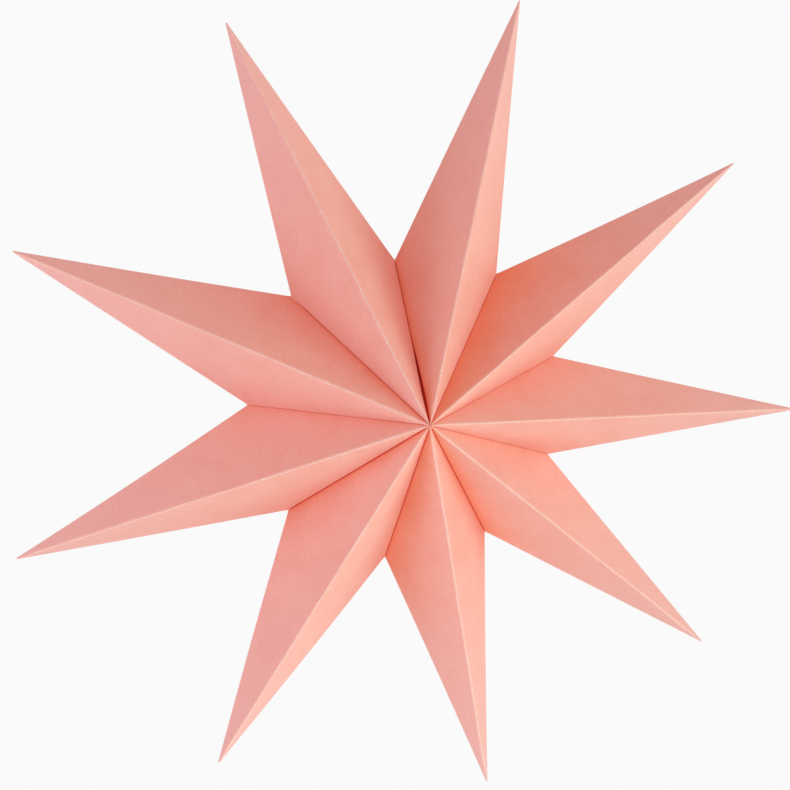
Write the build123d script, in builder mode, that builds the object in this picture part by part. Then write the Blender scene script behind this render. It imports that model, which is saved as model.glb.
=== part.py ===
from build123d import *
import math
import os

# A nine-pointed paper star lantern, folded from thin card and closed at one seam.
# The star hangs upright: X to the right, the front faces -Y, Z up.
# The origin is the top valley between the two end points, where the star is hung.
# All lengths are in millimetres, all angles in degrees.

# The star as a whole
point_count = 9
tip_radius = 150.0
valley_radius = 57.7
seam_valley_radius = 52.6
half_depth = 47.7
hub_hole_radius = 0.8

# The fan is drawn open by hand, so its points are narrowest towards one side
opening_swing = 4.2
narrowest_azimuth = -20.0
seam_azimuth = 90.0

# The card and its folds
card = 0.35
fold_radius = 0.16
valley_fold_radius = 0.25
tip_overrun = 1.5

# The flaps that are glued to the next point
flap_width = 8.0
flap_end_angle = 7.0
flap_valley_gap = 1.0
flap_taper_radius = 14.0
flap_hub_radius = 3.2
flap_hub_width = 1.6

# The tab inside the back ridge that closes each folded sheet
tab_width = 7.0
tab_hub_setback = 10.0
tab_tip_setback = 16.0

# The seam, held by two strips of double-sided tape and bowed open near the hub
tape_thickness = 0.14
tape_width = 5.0
tape_length = 18.0
tape_edge_gap = 1.2
tape_valley_gap = 9.0
seam_bow = 0.72
seam_bow_radius = 8.0
seam_closed_radius = 28.0

# Values that follow from the ones above
point_step = 360 / point_count
apex_radius = tip_radius + tip_overrun
star_centre = (0, 0, -seam_valley_radius)
plan_plane = Plane.XZ.offset(-half_depth)
depth = 2 * half_depth


def azimuth(even_azimuth):
    """Where a line of an evenly opened star lies once the fan is drawn open by hand."""
    here = math.sin(math.radians(even_azimuth - narrowest_azimuth))
    at_seam = math.sin(math.radians(seam_azimuth - narrowest_azimuth))
    return even_azimuth - opening_swing * (here - at_seam)


def is_seam(valley):
    """The seam is the first valley and, once round the star, the last."""
    return valley % point_count == 0


def half_width(radius, angle):
    """Half the width at the star's centre of a point whose outline meets the valley."""
    along = radius * math.cos(math.radians(angle))
    across = radius * math.sin(math.radians(angle))
    return across * apex_radius / (apex_radius - along)


def web_side(angle, seam):
    """Draw one side of a point's plan, from the hub outwards, and return its far end."""
    outward = Vector(1, 0).rotate(Axis.Z, angle)
    inward = outward.rotate(Axis.Z, math.copysign(90, -angle))
    if not seam:
        far = outward * (tip_radius / outward.X)
        Line((0, 0), far)
        return far
    crest = outward * seam_bow_radius + inward * seam_bow
    closed = outward * seam_closed_radius + inward * (tape_thickness / 2)
    far = closed + outward * ((tip_radius - closed.X) / outward.X)
    TangentArc(crest, (0, 0), tangent=-outward)
    TangentArc(crest, closed, tangent=outward)
    Line(closed, far)
    return far


def window_corners(radius, angle):
    """The gap between the two flaps of one side, seen square to the point's middle."""
    slope = math.atan2(half_depth, radius)
    free_edge = half_depth - flap_width / math.cos(slope)
    end_slope = math.tan(math.radians(flap_end_angle))
    notch = radius - flap_valley_gap
    corner = (free_edge - notch * end_slope) / (math.tan(slope) - end_slope)
    hub_height = half_depth - flap_hub_radius * math.tan(slope) - flap_hub_width
    back = [
        (-flap_hub_radius, hub_height),
        (flap_hub_radius, hub_height),
        (flap_taper_radius, free_edge - flap_taper_radius * math.tan(slope)),
        (corner, (notch - corner) * end_slope),
    ]
    front = [(r, -y) for r, y in reversed(back)]
    shrink = math.cos(math.radians(angle))
    return [(r * shrink, y) for r, y in [*back, (notch, 0), *front]]


def folded_point(number):
    """One point of the star, folded from a single sheet of card.

    It is built with its tip along X and the star's centre at the origin,
    and then turned to its place round the star.
    """
    tip_azimuth = azimuth(seam_azimuth - point_step * (number - 0.5))
    upper_angle = azimuth(seam_azimuth - point_step * (number - 1)) - tip_azimuth
    lower_angle = azimuth(seam_azimuth - point_step * number) - tip_azimuth
    upper_seam = is_seam(number - 1)
    lower_seam = is_seam(number)
    upper_radius = seam_valley_radius if upper_seam else valley_radius
    lower_radius = seam_valley_radius if lower_seam else valley_radius
    upper_width = half_width(upper_radius, upper_angle)
    lower_width = half_width(lower_radius, lower_angle)

    # Each facet's plane passes the tip, a hub end and the line of a side
    facets = [
        Plane(origin=(apex_radius, 0, 0), z_dir=(1 / apex_radius, y / half_depth, 1 / width))
        for y in (-1, 1)
        for width in (upper_width, lower_width)
    ]

    # The point's plan, a wedge from the hub to the blunt tip
    with BuildSketch(plan_plane) as plan:
        with BuildLine():
            upper_far = web_side(upper_angle, upper_seam)
            lower_far = web_side(lower_angle, lower_seam)
            Line(upper_far, lower_far)
        make_face()

    # The hollow inside, one card's thickness within every face
    with BuildPart() as cavity:
        with BuildSketch(plan_plane):
            add(plan.sketch_local)
            offset(amount=-card, kind=Kind.INTERSECTION)
        extrude(amount=depth)
        for facet in facets:
            split(bisect_by=facet.offset(-card), keep=Keep.BOTTOM)

    # The four facets with their folds rounded: two ridges and two outline edges
    with BuildPart() as creased:
        with BuildSketch(Plane.YZ):
            Rectangle(2 * depth, 2 * depth)
        extrude(amount=tip_radius)
        for facet in facets:
            split(bisect_by=facet, keep=Keep.BOTTOM)
        fillet(creased.edges().filter_by(lambda edge: edge.length > tip_radius), fold_radius)

    # The tab folded over from the far side of the back ridge and glued inside
    ridge_foot = Vector(0, half_depth, 0)
    ridge = Vector(apex_radius, 0, 0) - ridge_foot
    tab_end = ridge.length - tab_tip_setback
    inner_face = Plane(ridge_foot, x_dir=ridge, z_dir=facets[-1].z_dir).offset(-card)
    with BuildPart() as tab:
        with BuildSketch(inner_face):
            with BuildLine():
                Polyline(
                    (tab_hub_setback, 0),
                    (tab_end, 0),
                    (tab_end - tab_width, tab_width),
                    (tab_hub_setback + tab_width, tab_width),
                    close=True,
                )
            make_face()
        extrude(amount=-card)
        add(cavity.part, mode=Mode.INTERSECT)

    # The folded sheet: its facets, its hollow, and the flaps left beside each window
    with BuildPart() as sheet:
        with BuildSketch(plan_plane):
            add(plan.sketch_local)
        extrude(amount=depth)
        for facet in facets:
            split(bisect_by=facet, keep=Keep.BOTTOM)
        with BuildSketch(plan_plane):
            Circle(hub_hole_radius)
        extrude(amount=depth, mode=Mode.SUBTRACT)
        fillet(sheet.edges().filter_by(is_valley_fold), valley_fold_radius)
        add(creased.part, mode=Mode.INTERSECT)
        add(cavity.part, mode=Mode.SUBTRACT)
        for radius, angle in ((upper_radius, upper_angle), (lower_radius, lower_angle)):
            with BuildSketch(Plane.XY):
                Polygon(*window_corners(radius, angle), align=None)
            extrude(amount=math.copysign(tip_radius, angle), mode=Mode.SUBTRACT)
        add(tab.part)

    with BuildPart() as placed:
        with Locations(Location(star_centre, (0, -tip_azimuth, 0))):
            add(sheet.part)
    return placed


def is_valley_fold(edge):
    """The valley folds are the only edges well away from both middle planes."""
    return min(abs(edge.center().Y), abs(edge.center().Z)) > card


def seam_tape(side):
    """One strip of tape between the end points' flaps, along the front or the back."""
    hub_end = Vector(*star_centre) + Vector(0, side * half_depth, 0)
    valley_line = Plane((0, 0, 0), x_dir=hub_end, z_dir=(-side, 0, 0))
    middle = (tape_valley_gap + tape_length / 2, tape_edge_gap + tape_width / 2)
    with BuildPart() as tape:
        with BuildSketch(valley_line):
            with Locations(middle):
                Rectangle(tape_length, tape_width)
        extrude(amount=tape_thickness / 2, both=True)
    return tape


os.makedirs("parts", exist_ok=True)

# Nine folded points, clockwise from the seam as seen from the front
for number in range(1, point_count + 1):
    point = folded_point(number)
    point.part.label = f"point_{number}"
    export_step(point.part, f"parts/point_{number}.step")

# Two strips of tape that close the seam
for name, side in (("front", -1), ("back", 1)):
    tape = seam_tape(side)
    tape.part.label = f"seam_tape_{name}"
    export_step(tape.part, f"parts/seam_tape_{name}.step")
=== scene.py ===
import math
from collections import namedtuple

import bmesh
import bpy
from mathutils import Matrix, Vector, noise


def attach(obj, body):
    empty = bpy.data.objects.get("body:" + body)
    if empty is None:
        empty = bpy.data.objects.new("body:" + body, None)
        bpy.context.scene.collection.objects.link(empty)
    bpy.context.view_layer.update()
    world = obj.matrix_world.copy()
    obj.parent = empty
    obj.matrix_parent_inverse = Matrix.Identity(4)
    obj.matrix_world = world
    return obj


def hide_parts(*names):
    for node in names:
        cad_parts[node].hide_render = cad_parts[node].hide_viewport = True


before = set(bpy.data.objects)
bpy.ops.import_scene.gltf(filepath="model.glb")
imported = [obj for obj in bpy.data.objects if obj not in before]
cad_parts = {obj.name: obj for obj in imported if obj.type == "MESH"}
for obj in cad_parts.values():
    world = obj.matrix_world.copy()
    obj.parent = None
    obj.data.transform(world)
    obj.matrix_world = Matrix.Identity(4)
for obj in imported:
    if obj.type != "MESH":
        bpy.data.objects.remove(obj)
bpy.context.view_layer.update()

# The star, in millimetres and degrees, as the solids have it
MM = 0.001
POINT_COUNT = 9
TIP_RADIUS = 150.0
TIP_OVERRUN = 1.5
VALLEY_RADIUS = 57.7
SEAM_VALLEY_RADIUS = 52.6
HALF_DEPTH = 47.7
OPENING_SWING = 4.2
NARROWEST_AZIMUTH = -20.0
SEAM_AZIMUTH = 90.0
APEX_RADIUS = TIP_RADIUS + TIP_OVERRUN
POINT_STEP = 360 / POINT_COUNT
STAR_CENTRE = Vector((0, 0, -SEAM_VALLEY_RADIUS))

# The card, its glue flaps and its closing tab
CARD = 0.35
GLUE_GAP = 0.08
FLAP_WIDTH = 8.0
FLAP_END_ANGLE = 7.0
FLAP_VALLEY_GAP = 1.0
FLAP_TAPER_RADIUS = 14.0
FLAP_HUB_RADIUS = 3.2
FLAP_HUB_WIDTH = 1.6
TAB_WIDTH = 7.0
TAB_HUB_SETBACK = 10.0
TAB_TIP_SETBACK = 16.0
TAB_INSET = 2 * CARD
TAB_DEPTHS = (1.3 * CARD, 2 * CARD)

# How far each kind of fold is rounded, how much of that a tight valley keeps, how much
# of a narrow facet or flap a fold may take, and how near the end of a valley it sharpens
RIDGE_FOLD = 1.15
OUTLINE_FOLD = 0.35
VALLEY_FOLD = 0.5
TIGHT_FOLD = 0.5
FOLD_SHARE = 0.3
FLAP_FOLD_SHARE = 0.45
FOLD_RUN_OUT = 1.5

# How open each valley's crease is, clockwise from the seam: some flaps are glued tighter. It also
# scales the painted shade in each crease
CREASE_OPENNESS = (0.8, 0.5, 0.3, 0.3, 0.95, 1.0, 1.5, 0.3, 0.75)

# The seam, which bows open near the hub a little less than in the solids
TAPE_THICKNESS = 0.14
SEAM_BOW = 0.55
SEAM_BOW_RADIUS = 7.0
SEAM_CLOSED_RADIUS = 24.0
SEAM_FLAP_POWER = 4
# How much painted shade darkens the seam's flaps in its gap
SEAM_FLAP_PAINTED_SHADE = 0.8

# How much of the narrow wedge at the hub a gap may take
HUB_GAP_SHARE = 0.5

# The card's thickness near the tip: the room inside the point, and how much of it is filled
HUB_ROOM = 25.0
ROOM_FILLED = 0.75

# How finely the card is divided, in steps across and in rows along the point
FOLD_STEPS = 4
FACET_STEPS = 16
FLAP_STEPS = 4
ROW_STEP = 3.2
ROW_SPACING = 0.8
HUB_ROWS = (0.15, 0.8, 1.3, 2.0)
VALLEY_END_ROWS = (-2.4, -1.2, -0.5, -0.15, 0, 0.15, 0.5, 1.2, 2.4)
TIP_ROWS = (0, 0.4, 1.2)

# The room for rounding errors, how near vertices are merged, and the angle of a sharp edge
ROUNDING = 1e-6
MERGE = 0.002
SHARP_ANGLE = 40

# How far the card bows and ripples between its folds, and how far the folds wander
BOW = 0.45
RIPPLE = 0.16
RIPPLE_LENGTH = 38.0
OUTLINE_BOW = 0.5
RIDGE_WANDER = 0.1
RIDGE_WANDER_LENGTH = 14.0
RIDGE_STEADY_LENGTH = 20.0
NOISE_GAIN = 1.6

# How deep the painted shade lies beside each valley, clockwise from the seam:
# on the point before it, then on the point after it. Above 1 it only reaches further
VALLEY_PAINTED_SHADE_DEPTHS = (
    (0.2, 0.9),
    (0.0, 2.1),
    (0.1, 0.2),
    (0.1, 0.3),
    (1.2, 0.6),
    (1.7, 0.4),
    (0.9, 0.2),
    (0.4, 0.0),
    (0.8, 0.0),
)
# How far the painted shade beside a valley reaches
VALLEY_REACH = 4.5

# How far the paler colour reaches at the hub, and how fast it gathers on a ridge towards its
# crest: worn card and painted highlight
HUB_WEAR_AND_HIGHLIGHT = 1.6
RIDGE_WEAR_AND_HIGHLIGHT_RISE = 1.5

# The card's colours, with the share of the two creases' painted shade that shows
DYE_DEEP = (0.958, 0.420, 0.345)
DYE_PALE = (0.978, 0.470, 0.400)
# Painted light, paler towards the tips
TIP_PAINTED_LIGHT_COLOUR = (0.945, 0.480, 0.440)
MOTTLE = (0.985, 0.92, 0.90)
STRAND = (0.99, 0.94, 0.93)
# Painted shade beside the valleys
VALLEY_PAINTED_SHADE = (1.0, 0.66, 0.46)
# Painted shade in the valley creases and in the seam's gap
VALLEY_CREASE_PAINTED_SHADE = (0.95, 0.10, 0.07)
VALLEY_CREASE_SHADE_SHARE = 0.95
# Painted shade on the outline folds, as they turn away from the light
OUTLINE_PAINTED_SHADE = (0.72, 0.34, 0.28)
OUTLINE_PAINTED_SHADE_SHARE = 0.7
# Worn card and painted highlight on the ridges and at the hub
WORN_RIDGE_AND_HIGHLIGHT = (0.97, 0.52, 0.44)
BARE_PAPER = (0.97, 0.70, 0.62)
LEAST_SCUFF = (0.6, 0.6, 0.6)
WHITE = (1, 1, 1)
BLACK = (0, 0, 0)

# The noises in the card's colour, in features per metre, and between which of their values
# each colour goes from none to full
CLOUD_SCALE = 90
CLOUD_RANGE = (0.3, 0.7)
MOTTLE_SCALE = 800
MOTTLE_RANGE = (0.35, 0.65)
FIBRE_SCALE = 1500
FIBRE_RANGE = (0.3, 0.7)
FIBRE_STRETCH = 6
FIBRE_TURN = 35
CROSS_FIBRE_TURN = 20
SCUFF_SCALE = 260
SCUFF_RANGE = (0.3, 0.6)
NICK_SCALE = 1100
NICK_RANGE = (0.64, 0.7)

# The card's shine, and the relief of its fibres in metres
CARD_ROUGHNESS = 0.8
CARD_SHINE = 0.25
RELIEF_STRENGTH = 0.35
RELIEF_HEIGHT = 0.00006

# The tape
TAPE_DEEP = (0.78, 0.70, 0.60)
TAPE_PALE = (0.88, 0.82, 0.74)
TAPE_GRAIN_SCALE = 400
TAPE_GRAIN_RANGE = (0, 1)
TAPE_ROUGHNESS = 0.45

# The camera, from a fit of the star's tips, valleys and hub to the photograph
CAMERA_AZIMUTH = -9.233
CAMERA_ELEVATION = 9.832
CAMERA_ROLL = -4.288
CAMERA_DISTANCE = 678.9
CAMERA_TARGET = (-3.564, 3.411)
CAMERA_LENS = 84.91
SENSOR = 36.0

# The studio: an even light, a pale background, and a floor like it with a soft shadow
BACKGROUND = (0.956, 0.956, 0.956)
WORLD_COLOUR = (1.0, 0.91, 0.90)
WORLD_LIGHT = 0.63
FLOOR_PAINT = (0.93, 0.93, 0.93)
FLOOR_ROUGHNESS = 0.9
FLOOR_LEVEL = -1.25
FLOOR_HALF = 6.0
SHADOW_REACH = 1.4
SHADOW_SHARE = 0.3

# The lamps, each with its clock angle in the picture, its tilt from the line of sight,
# its distance and size in metres, the power it would have 1 m away, and its colour
LAMPS = (
    ("right", 0, 68, 1.0, 0.6, 3.6, (0.56, 1.0, 0.90)),
    ("left", 185, 62, 0.5, 0.3, 2.3, (0.76, 0.98, 1.22)),
    ("below", 275, 62, 0.42, 0.3, 2.4, (0.68, 1.10, 1.12)),
    ("front", 0, 35, 1.0, 0.6, 1.0, (1.0, 0.75, 0.6)),
    ("low", 315, 80, 1.0, 0.6, 1.0, (0.5, 1.05, 0.92)),
    ("behind_right", 20, 145, 1.0, 0.6, 2.6, (0.75, 1.0, 0.95)),
    ("behind_left", 200, 150, 1.0, 0.6, 1.4, (0.85, 0.95, 1.0)),
)

# What each vertex of the card holds for the material, all from 0 to 1: painted shade beside a
# valley, painted shade in its crease and on the outline fold, the ridge's wear and painted
# highlight, and painted light towards the tip
Wear = namedtuple(
    "Wear",
    "valley_shade valley_wear outline_wear ridge_wear tip_fade",
    defaults=(0, 0, 0, 0, 0),
)

# Where the two folds of a row lie: the outer one, from the flap's side, and the ridge
Folds = namedtuple("Folds", "edge_start edge edge_end ridge_start ridge ridge_end")


def azimuth(even_azimuth):
    """Where a line of an evenly opened star lies once the fan is drawn open by hand."""
    here = math.sin(math.radians(even_azimuth - NARROWEST_AZIMUTH))
    at_seam = math.sin(math.radians(SEAM_AZIMUTH - NARROWEST_AZIMUTH))
    return even_azimuth - OPENING_SWING * (here - at_seam)


def seam_gap(x):
    """Half the gap at the seam, widest near the hub and taped shut further out."""
    if x < SEAM_BOW_RADIUS:
        return SEAM_BOW * (1 - (1 - x / SEAM_BOW_RADIUS) ** 2)
    if x < SEAM_CLOSED_RADIUS:
        span = (x - SEAM_BOW_RADIUS) / (SEAM_CLOSED_RADIUS - SEAM_BOW_RADIUS)
        return SEAM_BOW + (TAPE_THICKNESS / 2 - SEAM_BOW) * span**2
    return TAPE_THICKNESS / 2


def interpolate(x, table):
    """The value at x on a line through the table's pairs."""
    if x <= table[0][0]:
        return table[0][1]
    for (x0, y0), (x1, y1) in zip(table, table[1:]):
        if x <= x1:
            return y0 + (y1 - y0) * (x - x0) / (x1 - x0)
    return table[-1][1]


class Side:
    """One long half of a point, between its ridges and one outline edge.

    Its sign says on which side of the point's axis it lies, and x is a distance
    from the hub along that axis.
    """

    def __init__(self, sign, angle, valley):
        self.sign = sign
        self.seam = valley == 0
        self.angle = math.radians(angle)
        self.radius = SEAM_VALLEY_RADIUS if self.seam else VALLEY_RADIUS
        along = self.radius * math.cos(self.angle)
        across = self.radius * math.sin(self.angle)
        self.width = across * APEX_RADIUS / (APEX_RADIUS - along)
        self.openness = CREASE_OPENNESS[valley]
        # How deep the painted shade lies beside this side's valley
        self.depth = VALLEY_PAINTED_SHADE_DEPTHS[valley][1 if sign > 0 else 0]
        gap = TAPE_THICKNESS / 2 if self.seam else self.openness * GLUE_GAP / 2
        slope = math.tan(self.angle) + self.width / APEX_RADIUS
        self.valley_x = (self.width + gap) / slope
        self.fold = VALLEY_FOLD * (TIGHT_FOLD + (1 - TIGHT_FOLD) * self.openness)

    def edge(self, x):
        """The outer edge of a front facet at x, as (depth, across)."""
        scale = 1 - x / APEX_RADIUS
        if x >= self.valley_x:
            return Vector((0, self.width * scale))
        gap = seam_gap(x) if self.seam else self.openness * GLUE_GAP / 2
        wedge = x * math.tan(self.angle)
        across = wedge - min(gap, HUB_GAP_SHARE * wedge)
        return Vector((HALF_DEPTH * (scale - across / self.width), across))

    def span(self, x):
        """How wide the facet is at x, from its outer edge to the ridge."""
        return self.edge(x).y * math.hypot(HALF_DEPTH, self.width) / self.width

    def free_edge(self, x):
        """How deep the flap's free edge lies at x."""
        slope = math.tan(math.atan2(HALF_DEPTH, self.radius))
        height = HALF_DEPTH - FLAP_WIDTH * math.hypot(1, slope)
        end_slope = math.tan(math.radians(FLAP_END_ANGLE))
        notch = self.radius - FLAP_VALLEY_GAP
        corner = (height - notch * end_slope) / (slope - end_slope)
        hub = HALF_DEPTH - FLAP_HUB_RADIUS * slope - FLAP_HUB_WIDTH
        table = [
            (FLAP_HUB_RADIUS, hub),
            (FLAP_TAPER_RADIUS, height - FLAP_TAPER_RADIUS * slope),
            (corner, (notch - corner) * end_slope),
            (notch, 0),
        ]
        return interpolate(x / math.cos(self.angle), table)


def bend(start, corner, end, t):
    """A point on the rounded fold from start round a corner to end."""
    return start * (1 - t) ** 2 + corner * (2 * t * (1 - t)) + end * t**2


def wobble(a, b, c):
    """A smooth random value of about -1 to 1.

    The odd numbers that its calls give only keep their random values apart.
    """
    return noise.noise(Vector((a, b, c))) * NOISE_GAIN


def valley_shade(side, x, from_edge):
    """How much of a valley's painted shade a spot has, from 1 in it to 0 far away."""
    beyond = max(0, x - side.valley_x)
    reach = VALLEY_REACH * max(1, side.depth) ** 2
    return min(1, side.depth) * math.exp(-math.hypot(from_edge, beyond) / reach)


def hub_wear_and_highlight(x):
    """How pale the card is at the hub, where the ridges' ends crowd together: worn card and
    painted highlight.
    """
    return max(0, 1 - x / HUB_WEAR_AND_HIGHLIGHT)


def tip_fade(x):
    """How far painted light pales the card towards the tip, where it is lit most."""
    return max(0, (x - VALLEY_RADIUS) / (TIP_RADIUS - VALLEY_RADIUS))


class Quarter:
    """A front or back quarter of a point: one facet with its folds and its glue flap.

    A place in it is (depth, across), seen along the point's axis. A column of a row
    is its place, its lift out of the facet's plane, and its wear and painted light.
    """

    def __init__(self, number, side, other, depth_sign):
        self.number = number
        self.side = side
        self.other = other
        self.depth_sign = depth_sign
        self.normal = Vector((1 / APEX_RADIUS, depth_sign / HALF_DEPTH, side.sign / side.width))
        self.normal.normalize()

    def lift(self, x, s):
        """How far the card stands out of its flat facet, at s from outer edge to ridge."""
        front = 1 if self.depth_sign > 0 else 0
        seed = self.number * 4 + (2 if self.side.sign > 0 else 0) + front
        bow = wobble(seed * 1.7, 0.3, 0.9)
        ripple = wobble(x / RIPPLE_LENGTH, s * 1.3, seed * 5.1)
        swell = math.sin(math.pi * s) * math.sin(math.pi * x / TIP_RADIUS)
        return swell * (BOW * bow + RIPPLE * ripple)

    def ridge_wander(self, x):
        """How far the ridge wanders from a straight line at x."""
        place = x / RIDGE_WANDER_LENGTH
        seed = self.number * 3.3 + self.depth_sign
        steady = min(1, x / RIDGE_STEADY_LENGTH, (TIP_RADIUS - x) / RIDGE_STEADY_LENGTH)
        across = self.side.sign * wobble(place, seed, 7.5)
        return Vector((wobble(place, seed, 0.5), across)) * (RIDGE_WANDER * steady)

    def outline_bow(self, x):
        """How far the outline bows from a straight line at x."""
        side = self.side
        if x <= side.valley_x:
            return Vector((0, 0))
        along = (x - side.valley_x) / (TIP_RADIUS - side.valley_x)
        bow = OUTLINE_BOW * wobble(self.number * 2.9, side.sign * 4.3, 0.7)
        return Vector((0, bow * math.sin(math.pi * along)))

    def folds(self, x):
        """Where the outer fold and the ridge fold begin, turn and end at x."""
        side = self.side
        span = side.span(x)
        edge = side.edge(x)
        ridge = Vector((HALF_DEPTH * (1 - x / APEX_RADIUS), 0))
        to_ridge = (ridge - edge).normalized()
        beside = Vector((-HALF_DEPTH, -self.other.width)).normalized()
        ridge_fold = min(RIDGE_FOLD, FOLD_SHARE * min(span, self.other.span(x)))
        softness = min(1, abs(x - side.valley_x) / FOLD_RUN_OUT)
        if x < side.valley_x:
            room = FLAP_FOLD_SHARE * max(0, edge.x - side.free_edge(x))
            edge_fold = min(side.fold * softness, FOLD_SHARE * span, room)
            onward = Vector((-1, 0))
        else:
            edge_fold = min(OUTLINE_FOLD * softness, FOLD_SHARE * span)
            onward = Vector((-to_ridge.x, to_ridge.y))
        return Folds(
            edge_start=edge + onward * edge_fold,
            edge=edge,
            edge_end=edge + to_ridge * edge_fold,
            ridge_start=ridge - to_ridge * ridge_fold,
            ridge=ridge,
            ridge_end=ridge + beside * ridge_fold,
        )

    def facet_row(self, x):
        """One row of columns, from the outer fold's crest over the facet to the ridge's crest."""
        side = self.side
        in_valley = x < side.valley_x
        folds = self.folds(x)
        bow = self.outline_bow(x)
        wander = self.ridge_wander(x)
        span = side.span(x)
        fade = tip_fade(x)
        columns = []
        # The outer fold: painted shade in a valley's crease, or on the outline
        for i in range(FOLD_STEPS):
            t = 0.5 + 0.5 * i / FOLD_STEPS
            fold_mark_share = 1 - i / FOLD_STEPS
            wear_and_light = Wear(
                valley_shade=valley_shade(side, x, 0),
                valley_wear=min(1, side.openness) * fold_mark_share if in_valley else 0,
                outline_wear=0 if in_valley else fold_mark_share,
                tip_fade=fade,
            )
            columns.append((bend(folds.edge_start, folds.edge, folds.edge_end, t) + bow, 0, wear_and_light))
        for i in range(FACET_STEPS + 1):
            s = 0.5 - 0.5 * math.cos(math.pi * i / FACET_STEPS)
            place = (folds.edge_end + bow).lerp(folds.ridge_start + wander, s)
            shade = valley_shade(side, x, s * span)
            wear_and_light = Wear(valley_shade=shade, ridge_wear=hub_wear_and_highlight(x), tip_fade=fade)
            columns.append((place, self.lift(x, s), wear_and_light))
        # The ridge fold pales towards its crest: worn card and painted highlight
        for i in range(1, FOLD_STEPS + 1):
            place = bend(folds.ridge_start, folds.ridge, folds.ridge_end, 0.5 * i / FOLD_STEPS)
            shade = valley_shade(side, x, span)
            fold_mark_share = max(min(1, RIDGE_WEAR_AND_HIGHLIGHT_RISE * i / FOLD_STEPS), hub_wear_and_highlight(x))
            wear_and_light = Wear(valley_shade=shade, ridge_wear=fold_mark_share, tip_fade=fade)
            columns.append((place + wander, 0, wear_and_light))
        return columns

    def flap_row(self, x):
        """One row of columns, from the valley fold's crest to the glue flap's free edge.

        The seam's flaps lean towards each other, so that their free edges meet.
        """
        side = self.side
        folds = self.folds(x)
        free = Vector((side.free_edge(x), folds.edge.y))
        if side.seam:
            apart = TAPE_THICKNESS / 2 * min(1, x / SEAM_CLOSED_RADIUS) ** SEAM_FLAP_POWER
            free.y = x * math.tan(side.angle) - apart
        if free.x > folds.edge_start.x:
            free = folds.edge_start
        columns = []
        for i in range(FOLD_STEPS):
            t = 0.5 - 0.5 * i / FOLD_STEPS
            crease = min(1, side.openness) * (1 - i / FOLD_STEPS)
            wear_and_light = Wear(valley_shade=1, valley_wear=crease)
            columns.append((bend(folds.edge_start, folds.edge, folds.edge_end, t), 0, wear_and_light))
        # The flaps show only in the gaps, where painted shade darkens them
        wear_and_light = Wear(valley_shade=1, valley_wear=SEAM_FLAP_PAINTED_SHADE if side.seam else 0)
        for i in range(FLAP_STEPS + 1):
            columns.append((folds.edge_start.lerp(free, i / FLAP_STEPS), 0, wear_and_light))
        return columns

    def placed(self, x, columns):
        """The position and the wear and painted light of each column of the row at x, in the
        point's own axes.
        """
        row = []
        for place, lift, wear_and_light in columns:
            flat = Vector((x, place.x * self.depth_sign, place.y * self.side.sign))
            row.append((flat + self.normal * lift, wear_and_light))
        return row


def rows_along(sides):
    """The distances from the hub at which the sheet gets a row of vertices."""
    marks = set(HUB_ROWS)
    marks.update(TIP_RADIUS - inwards for inwards in TIP_ROWS)
    for side in sides:
        marks.update(side.valley_x + beyond for beyond in VALLEY_END_ROWS)
    for i in range(1, int(TIP_RADIUS / ROW_STEP)):
        x = i * ROW_STEP
        if all(abs(x - mark) > ROW_SPACING for mark in marks):
            marks.add(x)
    return sorted(marks)


def add_grid(mesh, layers, rows, flip):
    """Add a grid of faces to the mesh from rows of (position, wear and painted light)."""
    grid = []
    for row in rows:
        line = []
        for position, wear_and_light in row:
            vert = mesh.verts.new(position)
            for layer, value in zip(layers, wear_and_light):
                vert[layer] = value
            line.append(vert)
        grid.append(line)
    for low, high in zip(grid, grid[1:]):
        for i in range(len(low) - 1):
            loop = [low[i], low[i + 1], high[i + 1], high[i]]
            mesh.faces.new(reversed(loop) if flip else loop)


def faces_outward(mesh):
    """Whether the sheet's normals point away from its own axis."""
    total = 0
    for face in mesh.faces:
        middle = face.calc_center_median()
        total += face.normal.dot(Vector((0, middle.y, middle.z))) * face.calc_area()
    return total > 0


def card_sheet(number, upper, lower):
    """The folded card of one point, still without its thickness, in the point's own axes."""
    mesh = bmesh.new()
    layers = [mesh.verts.layers.float.new(name) for name in Wear._fields]
    rows = rows_along((upper, lower))
    for side, other in ((upper, lower), (lower, upper)):
        flap_rows = [x for x in rows if x <= side.valley_x + ROUNDING]
        for depth_sign in (-1, 1):
            quarter = Quarter(number, side, other, depth_sign)
            facet = [quarter.placed(x, quarter.facet_row(x)) for x in rows]
            flap = [quarter.placed(x, quarter.flap_row(x)) for x in flap_rows]
            flip = side.sign * depth_sign > 0
            add_grid(mesh, layers, facet, flip)
            add_grid(mesh, layers, flap, not flip)
    bmesh.ops.remove_doubles(mesh, verts=mesh.verts, dist=MERGE)
    bmesh.ops.recalc_face_normals(mesh, faces=mesh.faces)
    if not faces_outward(mesh):
        bmesh.ops.reverse_faces(mesh, faces=mesh.faces)
    return mesh


def add_tab(mesh, side):
    """The glue tab inside the back ridge, as a thin closed strip."""
    normal = Vector((1 / APEX_RADIUS, 1 / HALF_DEPTH, side.sign / side.width)).normalized()
    foot = Vector((0, HALF_DEPTH, 0))
    along = Vector((APEX_RADIUS, 0, 0)) - foot
    length = along.length
    along.normalize()
    across = normal.cross(along)
    corners = [
        (TAB_HUB_SETBACK, TAB_INSET),
        (length - TAB_TIP_SETBACK, TAB_INSET),
        (length - TAB_TIP_SETBACK - TAB_WIDTH, TAB_WIDTH),
        (TAB_HUB_SETBACK + TAB_WIDTH, TAB_WIDTH),
    ]
    faces = []
    for depth in TAB_DEPTHS:
        places = [foot + along * a + across * b - normal * depth for a, b in corners]
        faces.append([mesh.verts.new(place) for place in places])
    top, bottom = faces
    mesh.faces.new(reversed(top))
    mesh.faces.new(bottom)
    for i in range(4):
        j = (i + 1) % 4
        mesh.faces.new((top[i], top[j], bottom[j], bottom[i]))


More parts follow.
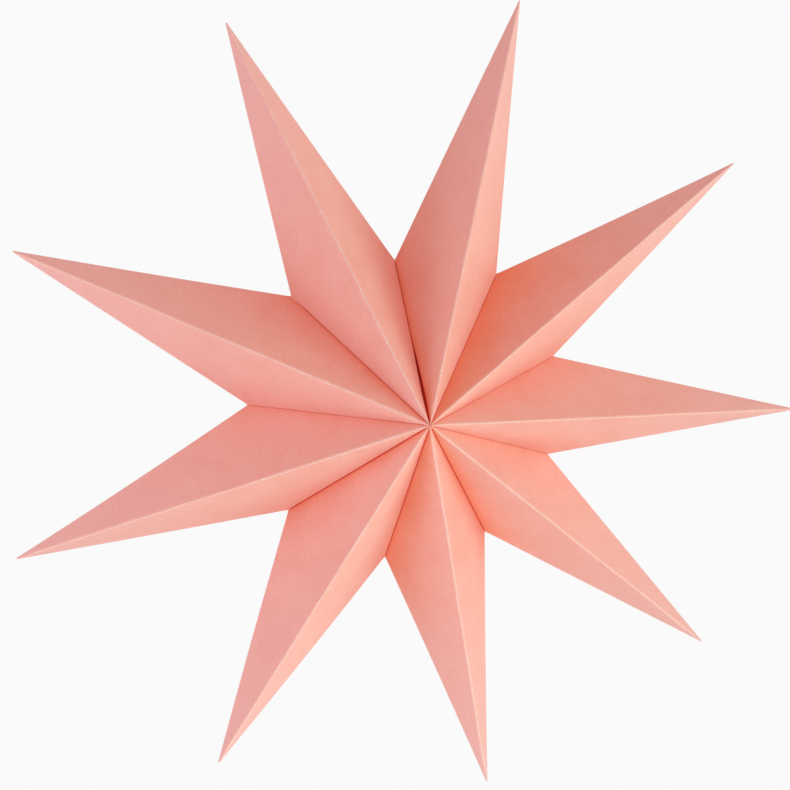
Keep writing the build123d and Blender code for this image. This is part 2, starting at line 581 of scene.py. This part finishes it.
def thicken(piece):
    """Give the sheet the card's thickness inwards, and less where the tip has no room for it."""
    weight = piece.vertex_groups.new(name="thickness")
    for vert in piece.data.vertices:
        room = HUB_ROOM * (1 - vert.co.x / APEX_RADIUS)
        weight.add([vert.index], min(1, ROOM_FILLED * room / CARD), "REPLACE")
    solid = piece.modifiers.new("card", "SOLIDIFY")
    solid.thickness = CARD
    solid.offset = -1
    solid.use_even_offset = True
    solid.thickness_clamp = 0
    solid.vertex_group = "thickness"
    graph = bpy.context.evaluated_depsgraph_get()
    thick = bpy.data.meshes.new_from_object(piece.evaluated_get(graph))
    piece.modifiers.clear()
    piece.data = thick


def point_sides(number):
    """The tip's azimuth and the two sides of a point."""
    tip = azimuth(SEAM_AZIMUTH - POINT_STEP * (number - 0.5))
    upper = azimuth(SEAM_AZIMUTH - POINT_STEP * (number - 1)) - tip
    lower = tip - azimuth(SEAM_AZIMUTH - POINT_STEP * number)
    return tip, Side(1, upper, number - 1), Side(-1, lower, number % POINT_COUNT)


def turned(tip):
    """The matrix that takes a point from its own axes, in mm, to its place in metres."""
    return (
        Matrix.Scale(MM, 4)
        @ Matrix.Translation(STAR_CENTRE)
        @ Matrix.Rotation(math.radians(-tip), 4, "Y")
    )


def make_point(number, material):
    """One folded point of the star, as a closed sheet of card with its tab."""
    tip, upper, lower = point_sides(number)
    name = f"card_point_{number}"
    piece = bpy.data.objects.new(name, bpy.data.meshes.new(name))
    bpy.context.collection.objects.link(piece)
    sheet = card_sheet(number, upper, lower)
    sheet.to_mesh(piece.data)
    sheet.free()
    thicken(piece)
    body = bmesh.new()
    body.from_mesh(piece.data)
    add_tab(body, lower)
    body.transform(turned(tip))
    body.to_mesh(piece.data)
    body.free()
    for polygon in piece.data.polygons:
        polygon.use_smooth = True
    piece.data.set_sharp_from_angle(angle=math.radians(SHARP_ANGLE))
    piece.data.materials.append(material)
    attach(piece, "root")
    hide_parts(f"point_{number}")


def node(tree, kind, **values):
    """Add a shader node, with its sockets and settings given by name."""
    made = tree.nodes.new(kind)
    for key, value in values.items():
        if key in made.inputs:
            made.inputs[key].default_value = value
        else:
            setattr(made, key, value)
    return made


def feed(tree, value, socket):
    """Give a socket its value: what another socket gives, or a plain colour or number."""
    if isinstance(value, bpy.types.NodeSocket):
        tree.links.new(value, socket)
    elif isinstance(value, tuple):
        socket.default_value = (*value, 1)
    else:
        socket.default_value = value


def combine(tree, operation, first, second):
    """The sum, product or other result of two values."""
    made = node(tree, "ShaderNodeMath", operation=operation)
    feed(tree, first, made.inputs[0])
    feed(tree, second, made.inputs[1])
    return made.outputs[0]


def noise_field(tree, scale, detail, stretch=(1, 1, 1), turn=0):
    """A noise value over the object's own coordinates, in features per metre."""
    place = node(tree, "ShaderNodeTexCoord")
    mapping = node(tree, "ShaderNodeMapping", Rotation=(0, math.radians(turn), 0), Scale=stretch)
    field = node(tree, "ShaderNodeTexNoise", Scale=scale, Detail=detail)
    tree.links.new(place.outputs["Object"], mapping.inputs["Vector"])
    tree.links.new(mapping.outputs["Vector"], field.inputs["Vector"])
    return field.outputs["Fac"]


def colour_ramp(tree, value, value_range, low_colour, high_colour):
    """A colour that runs from one to another as the value goes through its range."""
    ramp = node(tree, "ShaderNodeValToRGB")
    low, high = ramp.color_ramp.elements
    low.position, high.position = value_range
    low.color = (*low_colour, 1)
    high.color = (*high_colour, 1)
    tree.links.new(value, ramp.inputs["Fac"])
    return ramp.outputs["Color"]


def blend_colours(tree, kind, factor, first, second):
    """Mix two colours; a colour mix has its sockets at these places of the node."""
    mix = node(tree, "ShaderNodeMix", data_type="RGBA", blend_type=kind)
    feed(tree, factor, mix.inputs[0])
    feed(tree, first, mix.inputs[6])
    feed(tree, second, mix.inputs[7])
    return mix.outputs[2]


def wear_and_light_value(tree, name):
    """The value that the mesh holds for one kind of wear or painted light."""
    return node(tree, "ShaderNodeAttribute", attribute_name=name).outputs["Fac"]


def dyed_colour(tree, fibre):
    """The card's colour between its folds: uneven dye, mottled and fibrous, with painted light
    paling it towards the tips.
    """
    cloud = noise_field(tree, CLOUD_SCALE, 3)
    grain = noise_field(tree, MOTTLE_SCALE, 3)
    colour = colour_ramp(tree, cloud, CLOUD_RANGE, DYE_DEEP, DYE_PALE)
    # Painted light: paler towards the tips
    colour = blend_colours(tree, "MIX", wear_and_light_value(tree, "tip_fade"), colour, TIP_PAINTED_LIGHT_COLOUR)
    mottle = colour_ramp(tree, grain, MOTTLE_RANGE, MOTTLE, WHITE)
    strands = colour_ramp(tree, fibre, FIBRE_RANGE, STRAND, WHITE)
    colour = blend_colours(tree, "MULTIPLY", 1.0, colour, mottle)
    return blend_colours(tree, "MULTIPLY", 1.0, colour, strands)


def folded_colour(tree, colour):
    """The card's colour with its folds: painted shade in and beside the valleys and on the
    outline folds, and worn, nicked ridges with painted highlight.
    """
    shade = wear_and_light_value(tree, "valley_shade")
    crease = combine(tree, "MULTIPLY", wear_and_light_value(tree, "valley_wear"), VALLEY_CREASE_SHADE_SHARE)
    outline = combine(tree, "MULTIPLY", wear_and_light_value(tree, "outline_wear"), OUTLINE_PAINTED_SHADE_SHARE)
    # Painted shade beside the valleys, then in the valley creases and on the outline folds
    colour = blend_colours(tree, "MULTIPLY", shade, colour, VALLEY_PAINTED_SHADE)
    colour = blend_colours(tree, "MIX", crease, colour, VALLEY_CREASE_PAINTED_SHADE)
    colour = blend_colours(tree, "MIX", outline, colour, OUTLINE_PAINTED_SHADE)
    # Worn card and painted highlight on the ridges and at the hub, with nicks of bare paper
    ridge = wear_and_light_value(tree, "ridge_wear")
    patches = noise_field(tree, SCUFF_SCALE, 2)
    scuff = colour_ramp(tree, patches, SCUFF_RANGE, LEAST_SCUFF, WHITE)
    fold_mark_share = combine(tree, "MULTIPLY", ridge, scuff)
    colour = blend_colours(tree, "MIX", fold_mark_share, colour, WORN_RIDGE_AND_HIGHLIGHT)
    specks = noise_field(tree, NICK_SCALE, 2)
    nick = colour_ramp(tree, specks, NICK_RANGE, BLACK, WHITE)
    crest = combine(tree, "MULTIPLY", ridge, ridge)
    nicked = combine(tree, "MULTIPLY", crest, nick)
    return blend_colours(tree, "MIX", nicked, colour, BARE_PAPER)


def card_material():
    """Dyed card: salmon pink, faintly fibrous; worn and with painted highlight on its ridges,
    painted shade at its valleys and outline folds, painted light towards its tips.
    """
    material = bpy.data.materials.new("dyed_card")
    material.use_nodes = True
    tree = material.node_tree
    shader = tree.nodes["Principled BSDF"]
    shader.inputs["Roughness"].default_value = CARD_ROUGHNESS
    shader.inputs["Specular IOR Level"].default_value = CARD_SHINE
    fibre = noise_field(tree, FIBRE_SCALE, 2, (1, 1, FIBRE_STRETCH), FIBRE_TURN)
    cross_fibre = noise_field(tree, FIBRE_SCALE, 2, (FIBRE_STRETCH, 1, 1), CROSS_FIBRE_TURN)
    colour = folded_colour(tree, dyed_colour(tree, fibre))
    tree.links.new(colour, shader.inputs["Base Color"])
    bump = node(tree, "ShaderNodeBump", Strength=RELIEF_STRENGTH, Distance=RELIEF_HEIGHT)
    tree.links.new(combine(tree, "ADD", fibre, cross_fibre), bump.inputs["Height"])
    tree.links.new(bump.outputs["Normal"], shader.inputs["Normal"])
    return material


def tape_material():
    """Double-sided tape: a pale, faintly mottled film."""
    material = bpy.data.materials.new("tape_film")
    material.use_nodes = True
    tree = material.node_tree
    shader = tree.nodes["Principled BSDF"]
    shader.inputs["Roughness"].default_value = TAPE_ROUGHNESS
    grain = node(tree, "ShaderNodeTexNoise", Scale=TAPE_GRAIN_SCALE).outputs["Fac"]
    colour = colour_ramp(tree, grain, TAPE_GRAIN_RANGE, TAPE_DEEP, TAPE_PALE)
    tree.links.new(colour, shader.inputs["Base Color"])
    return material


def view_axes():
    """The camera's right, up and backward directions."""
    turn = math.radians(CAMERA_AZIMUTH)
    lift = math.radians(CAMERA_ELEVATION)
    roll = math.radians(CAMERA_ROLL)
    back = Vector((
        math.sin(turn) * math.cos(lift),
        -math.cos(turn) * math.cos(lift),
        math.sin(lift),
    ))
    level = Vector((0, 0, 1)).cross(back).normalized()
    upright = back.cross(level)
    right = level * math.cos(roll) + upright * math.sin(roll)
    up = upright * math.cos(roll) - level * math.sin(roll)
    return right, up, back


def make_camera():
    """Stand the camera where the photograph was taken from."""
    right, up, back = view_axes()
    target = STAR_CENTRE + Vector((CAMERA_TARGET[0], 0, CAMERA_TARGET[1]))
    data = bpy.data.cameras.new("camera")
    data.sensor_fit = "HORIZONTAL"
    data.sensor_width = SENSOR
    data.lens = CAMERA_LENS
    camera = bpy.data.objects.new("camera", data)
    bpy.context.collection.objects.link(camera)
    place = Matrix((right, up, back)).transposed().to_4x4()
    place.translation = (target + back * CAMERA_DISTANCE) * MM
    camera.matrix_world = place
    bpy.context.scene.camera = camera


def make_lamp(name, clock, tilt, distance, size, power, colour):
    """A round area lamp aimed at the star.

    The clock angle runs anticlockwise from the picture's right.
    """
    right, up, back = view_axes()
    clock = math.radians(clock)
    tilt = math.radians(tilt)
    sideways = right * math.cos(clock) + up * math.sin(clock)
    aim = sideways * math.sin(tilt) + back * math.cos(tilt)
    data = bpy.data.lights.new(name, "AREA")
    data.shape = "DISK"
    data.size = size
    data.energy = power * distance**2
    data.color = colour
    lamp = bpy.data.objects.new(name, data)
    bpy.context.collection.objects.link(lamp)
    lamp.location = STAR_CENTRE * MM + aim * distance
    lamp.rotation_euler = aim.to_track_quat("Z", "Y").to_euler()


def seen_directly(tree):
    """1 for camera, glossy and transmission rays, and 0 for the rays that light things."""
    rays = node(tree, "ShaderNodeLightPath").outputs
    seen = combine(tree, "MAXIMUM", rays["Is Camera Ray"], rays["Is Glossy Ray"])
    return combine(tree, "MAXIMUM", seen, rays["Is Transmission Ray"])


def link_mix(tree, share, first, second, output):
    """Mix two shaders, with that share of the second, and send them to the output."""
    mix = node(tree, "ShaderNodeMixShader")
    tree.links.new(share, mix.inputs[0])
    tree.links.new(first.outputs[0], mix.inputs[1])
    tree.links.new(second.outputs[0], mix.inputs[2])
    tree.links.new(mix.outputs[0], output.inputs["Surface"])


def make_world():
    """An even pale studio: it lights the star softly and looks near white."""
    world = bpy.data.worlds.new("studio")
    bpy.context.scene.world = world
    world.use_nodes = True
    tree = world.node_tree
    tree.nodes.clear()
    light = node(tree, "ShaderNodeBackground", Color=(*WORLD_COLOUR, 1), Strength=WORLD_LIGHT)
    shown = node(tree, "ShaderNodeBackground", Color=(*BACKGROUND, 1), Strength=1.0)
    output = node(tree, "ShaderNodeOutputWorld")
    link_mix(tree, seen_directly(tree), light, shown, output)


def floor_material():
    """A white floor that melts into the background but keeps the star's soft shadow."""
    material = bpy.data.materials.new("floor")
    material.use_nodes = True
    tree = material.node_tree
    paint = tree.nodes["Principled BSDF"]
    paint.inputs["Base Color"].default_value = (*FLOOR_PAINT, 1)
    paint.inputs["Roughness"].default_value = FLOOR_ROUGHNESS
    shown = node(tree, "ShaderNodeEmission", Color=(*BACKGROUND, 1), Strength=1.0)
    place = node(tree, "ShaderNodeTexCoord")
    distance = node(tree, "ShaderNodeVectorMath", operation="LENGTH")
    tree.links.new(place.outputs["Object"], distance.inputs[0])
    fade = node(tree, "ShaderNodeMapRange", interpolation_type="SMOOTHSTEP")
    feed(tree, distance.outputs["Value"], fade.inputs["Value"])
    feed(tree, 0.0, fade.inputs["From Min"])
    feed(tree, SHADOW_REACH, fade.inputs["From Max"])
    feed(tree, 1 - SHADOW_SHARE, fade.inputs["To Min"])
    feed(tree, 1.0, fade.inputs["To Max"])
    share = combine(tree, "MULTIPLY", seen_directly(tree), fade.outputs[0])
    link_mix(tree, share, paint, shown, tree.nodes["Material Output"])
    return material


def make_floor():
    """A pale studio floor well below the hanging star."""
    data = bpy.data.meshes.new("floor")
    corners = [(-1, -1), (1, -1), (1, 1), (-1, 1)]
    spots = [(x * FLOOR_HALF, y * FLOOR_HALF, 0) for x, y in corners]
    data.from_pydata(spots, [], [(0, 1, 2, 3)])
    floor = bpy.data.objects.new("floor", data)
    floor.location.z = FLOOR_LEVEL
    bpy.context.collection.objects.link(floor)
    data.materials.append(floor_material())


make_camera()
make_world()
make_floor()
for lamp in LAMPS:
    make_lamp(*lamp)

card = card_material()
for number in range(1, POINT_COUNT + 1):
    make_point(number, card)

tape = tape_material()
for name in ("seam_tape_front", "seam_tape_back"):
    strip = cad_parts[name]
    strip.data.materials.clear()
    strip.data.materials.append(tape)

bpy.context.scene.view_settings.view_transform = "Standard"
